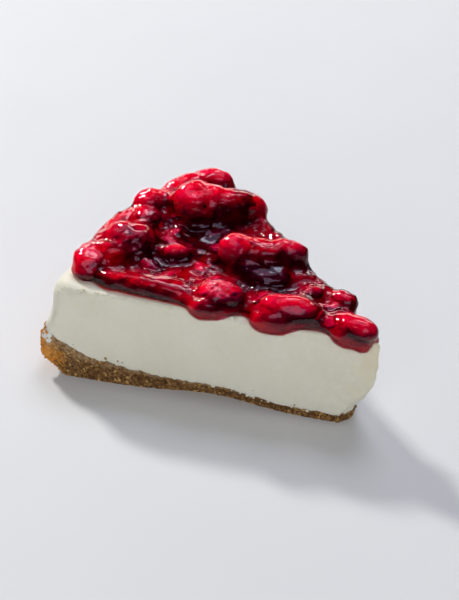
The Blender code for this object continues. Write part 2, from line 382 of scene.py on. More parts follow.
# How high the crust reaches: a thin floor under the tip, a bed, and a wall at the rim, with a ragged top
def crustTop(radius, angle):
    bed = crust["bed"] * smooth((radius - crust["bedFrom"]) / crust["bedOver"])
    wall = crust["wall"] * math.exp(-(crust["radius"] - radius) / crust["fade"])
    ragged = crust["ragged"] * ripple((radius, 40 * angle, 0), 8.0, 3.1)
    ragged += crust["nibbled"] * ripple((radius, 60 * angle, 0), 2.1, 4.4)
    return crust["floor"] + bed + wall + ragged


# A point of the crust's skin with the relief of its crumb, and the way inward from it
def crustPoint(share, across, level, rough=1.0):
    radius, angle = wedgePoint(share, across, crust["tip"], crust["radius"], crust["corner"])
    height = level * crustTop(radius, angle)
    belly = math.sin(math.pi * level) * crust["belly"]
    foot = (crust["radius"] - crust["foot"]) * (1 - smooth(level * crust["footShare"]))
    spread = radius + (belly - foot) * smooth((radius - crust["bellyFrom"]) / crust["bellyOver"])
    point = spot(spread * math.cos(angle), spread * math.sin(angle), height)
    fromCut = radius * math.sin(cutTilt + angle)
    fromCrumbled = (radius - crust["crumbledAt"]) / crust["crumbledHalf"]
    crumbled = crust["crumbledDeep"] * math.exp(-fromCrumbled ** 2)
    point.y += crumbled * (1 - level) * (1 - smooth(fromCut / crust["crumbledIn"]))
    crag = crust["hollow"] + crust["crag"] * ripple(point, crust["cragSize"], 5.0)
    lumps = crust["lump"] * ripple(point, crust["lumpSize"], 8.0)
    lumps += crust["grit"] * ripple(point, crust["gritSize"], 6.0)
    way = inward(share, across, angle)
    depth = crag * math.sin(math.pi * level) - rough * lumps * smooth(min(level, 1 - level) * 8 + 0.35)
    return point + way * max(depth, -crust["proud"]), way


# Biscuit crumb, golden where it baked at the rim, damp where the cheese soaked in, and smeared with cheese
def biscuitLook():
    look = Look("biscuit", {"Specular IOR Level": 0.35})
    tone = look.node("ShaderNodeSeparateColor", None, {0: look.cells(0.8, "Color")}, "Red")
    fine = look.grain(0.5, 4.0)
    broad = look.grain(9.0, 2.0)
    body = look.ramp((tone * 0.40 + fine * 0.75 + broad * 0.25 - 0.20).clamped(), [
        (0.20, (0.070, 0.027, 0.007)), (0.45, (0.180, 0.086, 0.026)),
        (0.66, (0.310, 0.165, 0.052)), (0.86, (0.560, 0.340, 0.130))])
    # Painted glints: a few grains painted bright gold in place of sparkles of light
    glint = look.node("ShaderNodeSeparateColor", None, {0: look.cells(0.9, "Color")}, "Green")
    body = look.mix(look.mask(glint, 0.90, 0.96) * 0.7, body, (0.740, 0.460, 0.160))
    baked = look.mix(look.attribute("baked") * look.mask(fine, 0.20, 0.55), body, (0.800, 0.320, 0.036))
    soaked = look.attribute("soaked") * look.mask(look.grain(1.6, 3.0), 0.34, 0.60)
    tinted = look.mix(soaked * 0.70, baked, (0.500, 0.350, 0.195))
    smeared = look.mask(look.attribute("smeared") + (look.grain(1.8, 3.0) - 0.5) * 1.1, 0.46, 0.56)
    tinted = look.mix(smeared, tinted, (0.840, 0.830, 0.780))
    relief = look.grain(0.4, 5.0) * 0.6 + look.cells(0.8) * 0.7
    return look.feed(Base_Color=tinted, Roughness=look.mask(fine, 0.2, 0.8) * 0.3 + 0.5,
                     Normal=look.bump(relief, 0.40, 1.0))


def makeCrust(look):
    bm = steppedBlock(crust["steps"])
    soaked = bm.verts.layers.float.new("soaked")
    baked = bm.verts.layers.float.new("baked")
    smeared = bm.verts.layers.float.new("smeared")
    smear = nearCut(crust["smearAlong"], 0, crust["smearLevel"] * crustTop(crust["smearAlong"], -cutTilt))
    for vert in bm.verts:
        share, across, level = vert.co
        vert.co = crustPoint(share, across, level)[0]
        reach = math.hypot(*((vert.co[i] - smear[i]) / crust["smearHalf"][i] for i in range(3)))
        vert[smeared] = 1 - smooth((reach - crust["smearFull"]) / crust["smearFade"])
        vert[soaked] = smooth((level - crust["soakedFrom"]) / crust["soakedOver"])
        toRim = smooth((cake["tipX"] - vert.co.x - crust["bakedFrom"]) / crust["bakedOver"])
        vert[baked] = toRim * (1 - smooth((level - crust["bakedUpTo"]) / crust["bakedFade"]))
    bmesh.ops.recalc_face_normals(bm, faces=bm.faces[:])
    return finishPiece("biscuitCrust", bm, look, ["crust"], 60.0)


# The first three shares say how many lie on the near cut, the far cut and the rim, each with those before it
crumbs = dict(
    count=1500, near=0.40, far=0.68, rim=0.96, size=(0.35, 1.25), manySmall=2.2, levels=(0.03, 0.97),
    strayFrom=0.84, strayUpTo=0.9, stray=1.9, straySize=0.6, proud=(0.15, 0.75), knobbly=(0.72, 1.15),
    clear=0.05, seed=11,
)


# Moves a small body into the box that the solids fill, with some room to spare
def moveInside(verts, clear):
    low = [min(vert.co[i] for vert in verts) - boxLow[i] - clear for i in range(3)]
    high = [max(vert.co[i] for vert in verts) - boxHigh[i] + clear for i in range(3)]
    move = Vector(-min(low[i], 0) - max(high[i], 0) for i in range(3))
    for vert in verts:
        vert.co += move


# Loose and half-loose crumbs over the sides of the crust, some of which have strayed up the near cut
def makeCrumbs(look):
    draw = random.Random(crumbs["seed"])
    bm = bmesh.new()
    soaked = bm.verts.layers.float.new("soaked")
    baked = bm.verts.layers.float.new("baked")
    for _ in range(crumbs["count"]):
        side = draw.random()
        level = draw.uniform(*crumbs["levels"])
        share = draw.random() ** 0.7
        across = draw.random()
        if side < crumbs["near"]:
            across = 0.0
        elif side < crumbs["far"]:
            across = 1.0
        elif side < crumbs["rim"]:
            share = 1.0
        else:
            share = 0.0
        centre, way = crustPoint(share, across, level, 0.5)
        size = mostlySmall(draw, crumbs["size"], crumbs["manySmall"])
        if across == 0.0 and level > crumbs["strayFrom"] and share < crumbs["strayUpTo"]:
            centre.z += draw.uniform(0.0, crumbs["stray"]) ** 1.5
            size *= crumbs["straySize"]
        centre += way * size * draw.uniform(*crumbs["proud"])
        stretch = Vector((draw.uniform(0.7, 1.3), draw.uniform(0.7, 1.3), draw.uniform(0.6, 1.0)))
        shape = Matrix.Translation(centre) @ anyTurn(draw) @ Matrix.Diagonal((*(stretch * size), 1))
        made = bmesh.ops.create_icosphere(bm, subdivisions=1, radius=1.0)["verts"]
        for vert in made:
            vert.co = shape @ (vert.co * draw.uniform(*crumbs["knobbly"]))
            vert[soaked] = 0.35 * smooth((level - 0.55) / 0.35)
            vert[baked] = smooth((cake["tipX"] - centre.x - 100) / 8)
        moveInside(made, crumbs["clear"])
    return finishPiece("biscuitCrumbs", bm, look, (), 30.0)


biscuit = biscuitLook()
makeCrust(biscuit)
makeCrumbs(biscuit)


print("baked cheese")
cream = dict(
    steps=(150, 56, 48), tip=0.9, radius=117.0, lean=3.4, edge=5.0, corner=7.5,
    lipRound=1.1, hollow=0.2, uneven=0.5, drag=0.10, fluff=0.16, tipRough=0.45, tipReach=24.0, tipFrom=30.0,
    scratch=0.55, scratchFrom=0.72, scratchOver=0.16,
)


# A point of the cheese's skin, which stands on the crust and has a rounded top edge
def creamPoint(share, across, level):
    inner = crust["tip"] + (cream["tip"] - crust["tip"]) * smooth(level * 1.7)
    outer = cream["radius"] - cream["lean"] * level
    corner = crust["corner"] + (cream["corner"] - crust["corner"]) * smooth(level * 2)
    radius, angle = wedgePoint(share, across, inner, outer, corner)
    low = crustTop(radius, angle) - cake["overlap"]
    high = cake["tipHeight"] + cake["topSlope"] * radius * math.cos(angle)
    height = low + (high - low) * crowded(level)
    toCut, toRim = radius * math.sin(cutTilt - abs(angle)), outer - radius
    cutWay = Vector((-math.sin(cutTilt), math.copysign(math.cos(cutTilt), -angle), 0))
    rimWay = Vector((math.cos(angle), -math.sin(angle), 0))
    if toCut < corner and toRim < corner:
        fromSkin = corner - math.hypot(corner - toCut, corner - toRim)
        way = (cutWay * (corner - toCut) + rimWay * (corner - toRim)).normalized()
    else:
        fromSkin = min(toCut, toRim)
        way = cutWay if toCut < toRim else rimWay
    bend = cream["lipRound"] + (cream["edge"] - cream["lipRound"]) * smooth(1.25 - toRim / (2.0 * corner))
    moved, top = rounded(fromSkin, high - height, bend)
    point = spot(radius * math.cos(angle), radius * math.sin(angle), high - top) + way * (moved - fromSkin)
    if level < 0.001:
        point.z = low
    way = inward(share, across, angle)
    uneven = cream["hollow"] + cream["uneven"] * ripple(point, 14.0, 9.0)
    point += way * uneven * math.sin(math.pi * level)
    along = Vector((point.x * 0.9, point.y * 0.9, point.z * 0.16))
    detail = cream["drag"] * ripple(along, 1.6, 2.0) + cream["fluff"] * ripple(point, 2.6, 4.0)
    nearTip = smooth((cream["tipFrom"] - radius) / cream["tipReach"])
    detail += cream["tipRough"] * ripple(point, 2.4, 6.0) * nearTip
    scratch = Vector((point.x * 0.22, point.y * 0.22, point.z))
    scratched = smooth((level - cream["scratchFrom"]) / cream["scratchOver"])
    detail += cream["scratch"] * abs(ripple(scratch, 1.3, 12.0)) * scratched
    return point + way * detail


# The small bits have no light going through them, which would leave them blue
def creamLook(name, through):
    look = Look(name, {
        "Subsurface Weight": through, "Subsurface Radius": (1.0, 0.85, 0.60), "Subsurface Scale": 0.0022,
        "Specular IOR Level": 0.35})
    cloud = look.grain(16.0, 3.0)
    fine = look.grain(1.6, 4.0)
    base = look.ramp(cloud * 0.7 + fine * 0.3, [
        (0.30, (0.780, 0.755, 0.605)), (0.52, (0.812, 0.793, 0.660)), (0.75, (0.845, 0.832, 0.720))])
    # Yellow-brown where the rim browned, and at the tip a warm tint that is painted light
    brownAndTipLightShare = look.attribute("aged") * look.mask(look.grain(7.0, 2.0), 0.25, 0.70) * 0.55
    aged = look.mix(brownAndTipLightShare, base, (0.740, 0.640, 0.380))
    pores = look.mask(look.cells(2.4), 0.0, 0.10)
    relief = fine * 0.7 + look.grain(0.6, 3.0) * 0.3 + pores * 0.3
    return look.feed(Base_Color=aged, Roughness=0.42 + 0.25 * fine, Normal=look.bump(relief, 0.16, 0.6))


def makeCream(look):
    bm = steppedBlock(cream["steps"])
    aged = bm.verts.layers.float.new("aged")
    for vert in bm.verts:
        share, across, level = vert.co
        vert.co = creamPoint(share, across, level)
        u = cake["tipX"] - vert.co.x
        # A warm tint painted as light at the tip, and browning higher up near the rim
        vert[aged] = max(smooth((16 - u) / 16), 0.35 * smooth((u - 96) / 12) * smooth(level * 1.6))
    bmesh.ops.recalc_face_normals(bm, faces=bm.faces[:])
    return finishPiece("bakedFilling", bm, look, ["filling"], 70.0)


bits = dict(lower=20, upper=44, size=(0.22, 0.80), flat=0.5, seed=21)


# Crumbled bits of the cheese, on the near cut over its lower edge and by the glaze
def makeBits(look):
    draw = random.Random(bits["seed"])
    bm = bmesh.new()
    aged = bm.verts.layers.float.new("aged")
    places = []
    for _ in range(bits["lower"]):
        along = draw.gauss(42.0, 17.0)
        inset = draw.uniform(-0.1, 0.5)
        places.append(nearCut(along, inset, crustTop(along, -cutTilt) + draw.uniform(-1.2, 0.4)))
    for _ in range(bits["upper"]):
        along = draw.uniform(44.0, 104.0)
        place = nearCut(along, draw.uniform(0.0, 1.1), 0)
        place.z = cakeTop(place) - draw.uniform(0.0, 0.9)
        places.append(place)
    for place in places:
        size = mostlySmall(draw, bits["size"], 2)
        made = bmesh.ops.create_icosphere(bm, subdivisions=2, radius=1.0)["verts"]
        turn = anyTurn(draw)
        flat = Matrix.Diagonal((size * 1.3, size * bits["flat"], size, 1))
        shape = Matrix.Translation(place) @ Matrix.Rotation(cutTilt, 4, "Z") @ flat
        for vert in made:
            rough = turn @ (vert.co * (1 + 0.8 * ripple(vert.co, 0.8, size * 40)))
            vert.co = shape @ rough
            vert[aged] = 0.15
    return finishPiece("cheeseBits", bm, look)


makeCream(creamLook("bakedCheese", 0.35))
makeBits(creamLook("cheeseBits", 0.0))


print("cherries")
# Distance from the tip, place across, height of the middle over the cheese, half sizes, turn about Z,
# depth of the crease and of the stone's dent, and how much deeper the flesh is: partly its own colour, partly
# painted shade
cherries = {
    "cherry_peak": dict(at=(92.0, 18.6), lift=8.9, half=(10.6, 8.8, 8.2), turn=39,
        crease=0.20, dent=0.22, darkAndShade=0.0),
    "cherry_peak_side": dict(at=(78.8, 29.6), lift=6.6, half=(6.4, 5.6, 5.6), turn=42,
        crease=0.10, dent=0.12, darkAndShade=0.35),
    "cherry_crown": dict(at=(62.4, 3.4), lift=7.6, half=(6.8, 6.4, 6.3), turn=30,
        crease=0.12, dent=0.08, darkAndShade=-0.1),
    "cherry_crown_side": dict(at=(48.4, 12.6), lift=8.9, half=(7.3, 4.8, 4.6), turn=30,
        crease=0.14, dent=0.10, darkAndShade=0.2),
    "cherry_under": dict(at=(47.4, 1.6), lift=4.3, half=(8.2, 5.2, 3.4), turn=28,
        crease=0.08, dent=0.06, darkAndShade=1.3),
    "cherry_shoulder": dict(at=(96.0, -16.0), lift=6.0, half=(9.2, 8.8, 6.4), turn=38,
        crease=0.14, dent=0.12, darkAndShade=0.75, film=1.1),
    "cherry_end": dict(at=(99.8, -30.6), lift=4.0, half=(5.8, 7.0, 4.2), turn=20,
        crease=0.10, dent=0.06, darkAndShade=0.05),
    "cherry_scrap": dict(at=(79.6, -9.2), lift=5.4, half=(4.8, 3.2, 3.0), turn=36,
        crease=0.06, dent=0.05, darkAndShade=0.0),
    "cherry_open": dict(at=(53.0, -17.2), lift=4.4, half=(7.4, 5.2, 3.8), turn=26,
        crease=0.06, dent=0.42, darkAndShade=0.2),
    "cherry_long": dict(at=(31.4, -8.4), lift=4.2, half=(10.0, 5.4, 4.2), turn=25,
        crease=0.04, dent=0.05, darkAndShade=0.15),
    "cherry_torn": dict(at=(30.4, 3.2), lift=4.0, half=(4.6, 3.6, 3.1), turn=60,
        crease=0.18, dent=0.14, darkAndShade=0.8),
    "cherry_far": dict(at=(21.4, 8.2), lift=3.7, half=(5.2, 3.4, 3.0), turn=0,
        crease=0.10, dent=0.08, darkAndShade=0.6),
    "cherry_tip": dict(at=(8.8, -1.4), lift=3.9, half=(7.6, 4.6, 3.3), turn=-4,
        crease=0.12, dent=0.08, darkAndShade=0.12),
    "cherry_rim": dict(at=(107.4, 10.2), lift=6.4, half=(7.8, 5.6, 5.2), turn=44,
        crease=0.10, dent=0.08, darkAndShade=0.75),
    "cherry_corner": dict(at=(103.4, 38.2), lift=6.4, half=(8.0, 5.0, 4.6), turn=30,
        crease=0.10, dent=0.06, darkAndShade=0.1),
}
# Further lobes of some of them
lobes = {
    "cherry_peak": [dict(at=(85.8, 23.6), lift=8.2, half=(7.8, 6.6, 6.4), turn=40)],
    "cherry_crown": [dict(at=(57.4, 6.8), lift=7.9, half=(6.6, 5.0, 4.9), turn=34)],
    "cherry_under": [dict(at=(55.0, 2.0), lift=4.6, half=(6.8, 5.4, 4.0), turn=30)],
    "cherry_shoulder": [dict(at=(92.4, -13.4), lift=5.2, half=(6.4, 6.4, 4.8), turn=38)],
    "cherry_end": [dict(at=(100.6, -26.6), lift=3.6, half=(6.6, 7.4, 3.8), turn=30),
                   dict(at=(98.2, -33.4), lift=1.8, half=(6.0, 5.2, 3.4), turn=24)],
    "cherry_tip": [dict(at=(12.6, -0.4), lift=3.0, half=(5.6, 4.2, 2.9), turn=10)],
    "cherry_corner": [dict(at=(107.0, 27.0), lift=6.2, half=(4.8, 12.0, 4.6), turn=-14)],
    "cherry_rim": [dict(at=(104.5, 2.6), lift=4.2, half=(6.0, 6.4, 4.0), turn=44),
                   dict(at=(109.4, -5.0), lift=2.6, half=(3.2, 13.6, 4.0), turn=3)],
}
# The flesh's tone: painted lighter where it faces the lamps, a painted glow towards the rim and at the
# glaze's thin lip, and painted shade in hollows
flesh = dict(
    voxel=0.5, easing=30, film=0.5, wrinkle=0.16, openFilm=0.15, openWrinkle=0.80, openReach=(2.5, 3.0),
    tone=0.49, paintedLightWay=(-0.62, 0.10, 0.78), paintedLightShare=0.55, leastFacing=-0.25, mottle=0.26,
    rim=0.25, rimFrom=97.0, rimOver=10.0, lip=0.50, lipReach=7.0, lipHeight=(0.8, 3.0),
    darker=0.42, glazeRadius=113, edgeReach=6.0, edgeFrom=62.0, edgeShare=0.7,
    shade=0.55, shadeHeight=(5.0, 4.0),
)


# Adds one lump to a bmesh, grown or shrunk evenly
def addLump(bm, lump, grow, sides=28, rings=20):
    centre = spot(*lump["at"], 0)
    centre.z = cakeTop(centre) + lump["lift"]
    turns = (lump.get("roll", 0.0), lump.get("pitch", 0.0), math.radians(lump["turn"]))
    turn = Euler(turns).to_matrix().to_4x4()
    size = Matrix.Diagonal((*(half + grow for half in lump["half"]), 1))
    return bmesh.ops.create_uvsphere(bm, u_segments=sides, v_segments=rings, radius=1.0,
                                     matrix=Matrix.Translation(centre) @ turn @ size)["verts"]


# Joins closed forms that overlap into one skin. A fill swells it and draws it back by that much,
# which leaves round hollows where the forms meet.
def joinedSkin(bm, voxel, easing, fill=0.0):
    mesh = bpy.data.meshes.new("rough")
    bm.to_mesh(mesh)
    bm.free()
    rough = bpy.data.objects.new("rough", mesh)
    bpy.context.scene.collection.objects.link(rough)

    def modify(kind, **settings):
        added = rough.modifiers.new(kind.lower(), kind)
        for setting, value in settings.items():
            setattr(added, setting, value)

    modify("REMESH", mode="VOXEL", voxel_size=voxel)
    if fill:
        modify("SMOOTH", factor=0.5, iterations=4)
        modify("DISPLACE", strength=fill, mid_level=0.0)
        modify("REMESH", mode="VOXEL", voxel_size=voxel)
        modify("SMOOTH", factor=0.5, iterations=8)
        modify("DISPLACE", strength=-fill, mid_level=0.0)
        modify("REMESH", mode="VOXEL", voxel_size=voxel)
    modify("SMOOTH", factor=0.5, iterations=easing)
    shown = rough.evaluated_get(bpy.context.evaluated_depsgraph_get())
    skin = bmesh.new()
    skin.from_mesh(shown.to_mesh())
    bpy.data.objects.remove(rough, do_unlink=True)
    skin.normal_update()
    return skin


# Takes out what floats free of the widest part of a skin, such as a bubble shut inside it
def keepWidest(bm):
    left = set(bm.verts)
    parts = []
    while left:
        part, edge = set(), [left.pop()]
        while edge:
            vert = edge.pop()
            part.add(vert)
            fresh = {e.other_vert(vert) for e in vert.link_edges} & left
            left -= fresh
            edge.extend(fresh)
        parts.append(part)
    parts.sort(key=len)
    print(len(parts) - 1, "loose parts taken out")
    for part in parts[:-1]:
        bmesh.ops.delete(bm, geom=list(part), context="VERTS")


# Moves each vertex of a skin along its normal by what relief says for its place
def raiseSkin(bm, relief):
    moves = [vert.normal * relief(vert.co) for vert in bm.verts]
    for vert, move in zip(bm.verts, moves):
        vert.co += move
    bm.normal_update()


# Keeps a body at least this far under the glaze's outer skin
def keepUnder(bm, shell, film):
    for vert in bm.verts:
        near, normal = shell.find_nearest(vert.co)[:2]
        if (near - vert.co).dot(normal) < film:
            vert.co = near - normal * film
    bm.normal_update()


# Painted shade: hollows where the flesh is painted nearly black, by place and reach
shades = [
    dict(at=(83.0, 12.5), reach=6.5), dict(at=(49.0, -0.5), reach=7.5), dict(at=(38.0, -2.5), reach=4.5),
    dict(at=(89.0, -8.5), reach=3.5), dict(at=(84.8, 4.0), reach=5.0), dict(at=(70.5, 0.0), reach=6.5),
    dict(at=(82.0, -17.0), reach=4.5),
]


def shadeAt(u, v):
    return sum(math.exp(-((u - shade["at"][0]) ** 2 + (v - shade["at"][1]) ** 2) / shade["reach"] ** 2)
               for shade in shades)


# Painted light and painted shade in the flesh's tone: painted lighter on the side that faces the lamps, a
# painted glow towards the rim and at the glaze's thin lip, painted near black in hollows, over its own mottle
# and deeper red
def fleshToneAndPaintedLight(vert, darkAndShade):
    u, v, over = cake["tipX"] - vert.co.x, vert.co.y, vert.co.z - cakeTop(vert.co)
    facing = max(vert.normal.dot(Vector(flesh["paintedLightWay"])), flesh["leastFacing"])
    tone = flesh["tone"] + flesh["paintedLightShare"] * facing + flesh["mottle"] * ripple(vert.co, 8.0, 2.0)
    tone += flesh["rim"] * smooth((u - flesh["rimFrom"]) / flesh["rimOver"])
    edge = min(*insideCuts(vert.co), flesh["glazeRadius"] - math.hypot(u, v))
    low = 1 - smooth((over - flesh["lipHeight"][0]) / flesh["lipHeight"][1])
    tone += flesh["lip"] * (1 - smooth(edge / flesh["lipReach"])) * low
    atEdge = (1 - smooth(edge / flesh["edgeReach"])) * smooth((u - flesh["edgeFrom"]) / 10)
    darkAndShade *= 1 - flesh["edgeShare"] * atEdge
    buried = 1 - smooth((over - flesh["shadeHeight"][0]) / flesh["shadeHeight"][1])
    return tone - flesh["darker"] * darkAndShade - flesh["shade"] * shadeAt(u, v) * buried


# A cherry with a crease round it and the dent that its stone has left, grown or shrunk evenly
def fruitBody(bm, spec, grow, seed, sides=44, rings=30):
    verts = bmesh.ops.create_uvsphere(bm, u_segments=sides, v_segments=rings, radius=1.0)["verts"]
    bmesh.ops.rotate(bm, verts=verts, matrix=Matrix.Rotation(math.radians(90), 3, "Y"))
    half = Vector(spec["half"])
    turn = Euler((0, 0, math.radians(spec["turn"]))).to_matrix()
    place = spot(*spec["at"], 0)
    place.z = cakeTop(place) + spec["lift"]
    dentWay = Vector((-0.25, -0.35, 0.9)).normalized()
    for vert in verts:
        way = vert.co.normalized()
        crease = spec["crease"] * math.exp(-((way.x - 0.25) / 0.24) ** 2) * smooth(way.z * 0.8 + 0.5)
        dent = spec["dent"] * math.exp(-((way - dentWay).length / 0.36) ** 2)
        reach = 1 - crease - dent + 0.07 * ripple(way, 0.7, seed)
        solid = Vector(way[i] * reach * half[i] for i in range(3))
        vert.co = turn @ (solid + way * grow) + place


# The fruit and its lobes, grown or shrunk evenly
def addFruit(bm, name, grow):
    fruitBody(bm, cherries[name], grow, list(cherries).index(name) + 1.0)
    for lump in lobes.get(name, []):
        addLump(bm, lump, grow)


# Cherry flesh coloured from its tone with painted light and painted shade, streaked with its own grain; the
# open cherry shows pink torn flesh
def fruitLook():
    look = Look("cherryFlesh", {
        "Specular IOR Level": 0.3, "Subsurface Weight": 0.60, "Subsurface Radius": (1.0, 0.14, 0.16),
        "Subsurface Scale": 0.0035})
    streak = look.grain(1.7, 3.0, stretch=(0.30, 0.8, 1.0), distortion=1.0)
    fine = look.grain(0.7, 2.0)
    tone = look.attribute("bright") + (streak - 0.5) * 0.50 + (fine - 0.5) * 0.10
    body = look.ramp(tone.clamped(), [
        (0.03, (0.024, 0.002, 0.018)), (0.28, (0.190, 0.006, 0.090)),
        (0.56, (0.640, 0.010, 0.175)), (0.92, (1.000, 0.040, 0.170))])
    torn = look.ramp(look.grain(1.3, 3.0), [(0.35, (0.620, 0.040, 0.080)), (0.60, (0.920, 0.420, 0.400))])
    return look.feed(Base_Color=look.mix(look.attribute("raw"), body, torn), Roughness=0.30 + 0.2 * fine,
                     Normal=look.bump(streak * 0.7 + fine * 0.3, 0.2, 0.5))


# Each cherry, just under the glaze's skin. The open one comes up to it and shows its torn inside.
def makeCherries(look, shell):
    for seed, (name, spec) in enumerate(cherries.items()):
        opened = name == "cherry_open"
        rough = bmesh.new()
        addFruit(rough, name, 0.1 if opened else -flesh["film"])
        bm = joinedSkin(rough, flesh["voxel"], flesh["easing"])
        keepUnder(bm, shell, flesh["openFilm"] if opened else spec.get("film", flesh["film"]))
        deep = flesh["openWrinkle"] if opened else flesh["wrinkle"]

        def relief(point):
            return deep * (ripple(point, 2.6, seed) + 0.5 * ripple(point, 1.1, seed + 3.0) - 0.3)

        raiseSkin(bm, relief)
        # Painted light and painted shade, kept on each vertex of the flesh
        bright = bm.verts.layers.float.new("bright")
        raw = bm.verts.layers.float.new("raw")
        middle = spot(*spec["at"], 0)
        for vert in bm.verts:
            vert[bright] = fleshToneAndPaintedLight(vert, spec["darkAndShade"])
            if opened:
                full, fade = flesh["openReach"]
                vert[raw] = 1 - smooth(((vert.co - middle).xy.length - full) / fade)
        finishPiece(name + "_fruit", bm, look, [name])


print("red glaze")
sauce = dict(
    depth=3.6, uneven=0.9, sink=1.2, under=0.45, foot=-0.1, lipRings=(0.0, 0.22, 0.6, 1.1, 1.8, 2.6), lip=2.6,
    middle=(76.0, 0.0), sag=1.9, sagReach=4.0, steps=220, rings=46, voxel=0.5, easing=10, fill=2.4, grow=0.40,
    wave=0.55, wrinkle=0.05, fold=0.78, crinkle=0.34, torn=0.60, calm=0.45,
)
# Clear glaze that has gathered between fruit
pools = [
    dict(at=(85.4, 23.4), lift=7.6, half=(13.6, 8.4, 7.4), turn=41),
    dict(at=(55.0, 6.6), lift=6.8, half=(13.2, 6.6, 6.2), turn=32),
    dict(at=(98.6, -20.0), lift=4.8, half=(9.6, 13.0, 4.8), turn=24),
    dict(at=(109.8, -5.6), lift=2.6, half=(3.9, 15.0, 4.8), turn=4),
    dict(at=(31.4, -8.2), lift=3.6, half=(11.4, 6.6, 4.4), turn=25),
    dict(at=(101.8, -4.0), lift=4.0, half=(6.0, 7.4, 3.4), turn=50),
    dict(at=(88.6, -10.8), lift=4.0, half=(5.4, 4.4, 3.2), turn=38),
    dict(at=(31.0, -2.0), lift=3.2, half=(6.6, 5.0, 3.4), turn=40),
    dict(at=(38.4, 9.0), lift=3.0, half=(6.6, 4.4, 3.4), turn=30),
    dict(at=(70.6, 13.0), lift=3.2, half=(6.0, 5.4, 3.6), turn=60),
]
# Where the glaze ends on the near side: distance from the tip, and how far inside the cut
nearEdge = [
    (4.0, -2.6), (9.0, -2.6), (15.0, -0.2), (22.0, 1.6), (28.0, 0.2), (35.0, -1.4), (41.0, 2.2),
    (47.0, 2.4), (52.0, -0.6), (57.0, -1.4), (64.0, 1.0), (78.0, 2.3), (93.0, 2.8), (100.0, 5.8),
]
# Where it ends at the rim: angle from the middle in degrees, and distance from the tip
rimEdge = [
    (-20.0, 107.2), (-14.0, 110.0), (-7.0, 112.6), (0.0, 114.2), (8.0, 115.2), (16.0, 114.8), (22.0, 114.2),
]
# Where it ends on the far side, from the rim back to the tip
farEdge = [(106.0, 0.8), (84.0, 0.4), (62.0, 0.7), (40.0, 0.5), (22.0, 0.9), (10.0, -1.2), (3.0, -1.6)]
# Where it swells: place, half length and half width, turn about Z in degrees, and height
swells = [
    dict(at=(79.0, -29.4), half=(19.0, 5.0), turn=24.7, height=5.8),
    dict(at=(104.0, -22.0), half=(5.0, 12.0), turn=14.0, height=5.6),
    dict(at=(108.5, 25.0), half=(4.6, 15.0), turn=-14.0, height=9.6),
    dict(at=(98.0, 40.5), half=(9.0, 4.0), turn=-24.7, height=7.6),
    dict(at=(60.0, 24.0), half=(24.0, 3.4), turn=-24.7, height=6.6),
    dict(at=(27.0, 9.8), half=(9.0, 3.0), turn=-24.7, height=6.0),
]
# Lobes that have run over the near edge: distance from the tip, drop, half length, half height and bulge
drips = [
    dict(along=59.0, drop=-1.0, half=(6.4, 3.9), bulge=2.7),
    dict(along=36.5, drop=-0.9, half=(7.8, 4.3), bulge=2.9),
    dict(along=10.5, drop=-0.6, half=(6.6, 4.2), bulge=2.6),
    dict(along=6.6, drop=2.4, half=(1.7, 2.6), bulge=1.7),
]


# Points on the glaze's edge, from the tip along the near side, round the rim and back
def glazeOutline():
    points = [Vector((2.6, 0.2))]
    for along, inset in nearEdge:
        points.append(Vector((along * math.cos(cutTilt) + inset * math.sin(cutTilt),
                              -along * math.sin(cutTilt) + inset * math.cos(cutTilt))))
    for degrees, radius in rimEdge:
        angle = math.radians(degrees)
        points.append(Vector((radius * math.cos(angle), radius * math.sin(angle))))
    for along, inset in farEdge:
        points.append(Vector((along * math.cos(cutTilt) + inset * math.sin(cutTilt),
                              along * math.sin(cutTilt) - inset * math.cos(cutTilt))))
    return points


# A closed curve through the points, read at even steps of its length
def smoothLoop(points, count):
    fine = []
    size = len(points)
    for i in range(size):
        before, start, end, after = (points[(i + k - 1) % size] for k in range(4))
        slope = end - before
        bend = 2 * before - 5 * start + 4 * end - after
        twist = 3 * start - before - 3 * end + after
        for step in range(8):
            t = step / 8
            fine.append(0.5 * (2 * start + slope * t + bend * t * t + twist * t ** 3))
    lengths = [0.0]
    for i in range(len(fine)):
        lengths.append(lengths[-1] + (fine[(i + 1) % len(fine)] - fine[i]).length)
    even, at = [], 0
    for step in range(count):
        goal = lengths[-1] * step / count
        while lengths[at + 1] < goal:
            at += 1
        share = (goal - lengths[at]) / (lengths[at + 1] - lengths[at])
        even.append(fine[at].lerp(fine[(at + 1) % len(fine)], share))
    return even


# How far a place is from the middle of a patch, where 1 is the patch's edge
def patchReach(patch, u, v):
    turn = math.radians(patch["turn"])
    back, side = patch["at"][0] - u, v - patch["at"][1]
    along = back * math.cos(turn) + side * math.sin(turn)
    over = side * math.cos(turn) - back * math.sin(turn)
    return math.hypot(along / patch["half"][0], over / patch["half"][1])


# How thick the glaze lies at a place. It swells in some places and climbs the sides of the fruit.
def glazeThickness(u, v):
    thick = sauce["depth"] + sauce["uneven"] * ripple((u, v, 0), 15.0, 4.0)
    for patch in swells:
        thick += max(patch["height"] - thick, 0) * (1 - smooth(patchReach(patch, u, v) / 1.5))
    for spec in cherries.values():
        climb = spec["lift"] * 0.75
        thick += max(climb - thick, 0) * (1 - smooth((patchReach(spec, u, v) - 0.85) / 0.55))
    return thick


